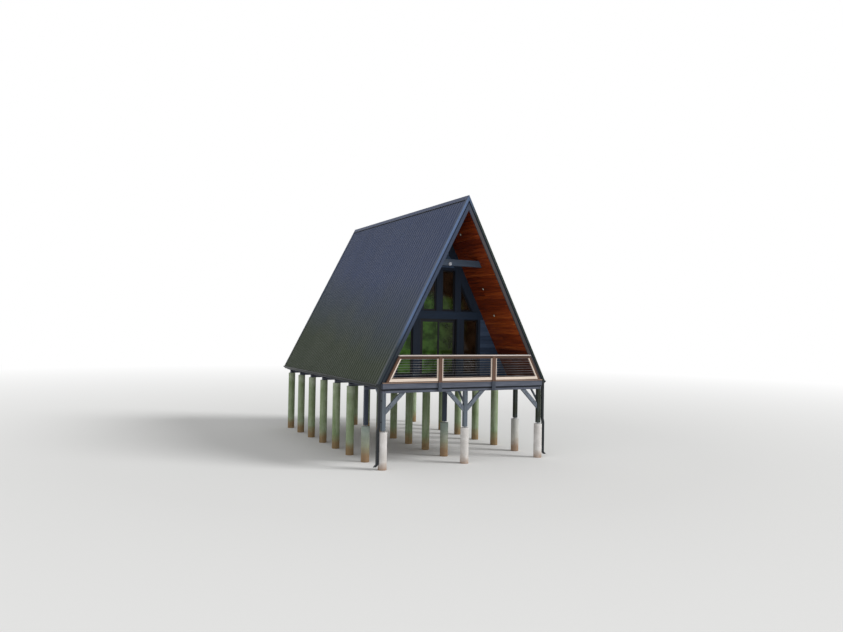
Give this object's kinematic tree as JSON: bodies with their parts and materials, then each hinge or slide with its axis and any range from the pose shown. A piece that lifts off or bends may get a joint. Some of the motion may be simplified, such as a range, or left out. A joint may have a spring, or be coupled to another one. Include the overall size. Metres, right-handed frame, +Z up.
{
  "type": "a-frame cabin",
  "caption": "A-frame cabin on piers: ribbed metal roof planes down to the floor, a covered front deck with a cable railing, and a glazed gable with a sliding door.",
  "frame": {"origin": "middle of the footprint, at the level of the lowest pier foot", "axes": "+Z up, -Y towards the front deck, +X to the right seen from the front"},
  "size_m": [6.941, 11.0276, 9.4144],
  "materials": {
    "concrete": "cast concrete with form marks and damp stains",
    "frame_timber": "blue-grey stain over sawn grain",
    "rake_timber": "blue-grey stain",
    "inner_timber": "plain sawn timber and sheet",
    "deck_timber": "weathered boards",
    "lining_timber": "red-brown stained tongue and groove boards",
    "roofing_metal": "satin coated sheet",
    "trim_metal": "satin coated sheet",
    "gutter_metal": "satin coated sheet",
    "base_steel": "galvanised, dull",
    "wall_timber": "dark blue-grey stain",
    "siding_timber": "dark blue-grey lap boards",
    "frame_metal": "dark satin",
    "glazing": "clear double glazing",
    "rail_timber": "brown stain",
    "cap_timber": "pale bare timber with steel cables",
    "lamp_white": "white, dull"
  },
  "bodies": {
    "cabin": {"short_piers": "concrete", "tall_piers": "concrete", "timber_posts": "frame_timber", "floor_beams": "frame_timber", "knee_braces": "frame_timber", "rim_boards": "frame_timber", "floor_joists": "frame_timber", "collar_beam": "frame_timber", "front_rakes": "rake_timber", "back_rakes": "rake_timber", "rafters": "inner_timber", "roof_sheathing": "inner_timber", "floor_panel": "inner_timber", "deck_boards": "deck_timber", "roof_lining": "lining_timber", "left_roofing": "roofing_metal", "right_roofing": "roofing_metal", "ridge_cap": "roofing_metal", "left_rake_trims": "trim_metal", "right_rake_trims": "trim_metal", "left_gutter": "gutter_metal", "right_gutter": "gutter_metal", "downspouts": "gutter_metal", "post_bases": "base_steel", "front_wall_left": "wall_timber", "front_wall_right": "wall_timber", "trim_band": "wall_timber", "front_wall_upper": "siding_timber", "back_wall": "siding_timber", "front_window_frames": "frame_metal", "back_window_frames": "frame_metal", "door_frame": "frame_metal", "fixed_door_panel": "frame_metal", "front_glass": "glazing", "back_glass": "glazing", "railing_posts": "rail_timber", "under_rails": "rail_timber", "rail_cap": "cap_timber", "left_rail_panel": "cap_timber", "middle_rail_panel": "cap_timber", "right_rail_panel": "cap_timber", "porch_lights": "lamp_white", "collar_lamp": "lamp_white"},
    "sliding_door": {"sliding_door_panel": "frame_metal", "sliding_door_glass": "glazing"}
  },
  "joints": [
    {"name": "door_slide", "type": "slide", "parent": "cabin", "child": "sliding_door", "axis": [-1, 0, 0], "range_m": [0, 0.6]}
  ]
}
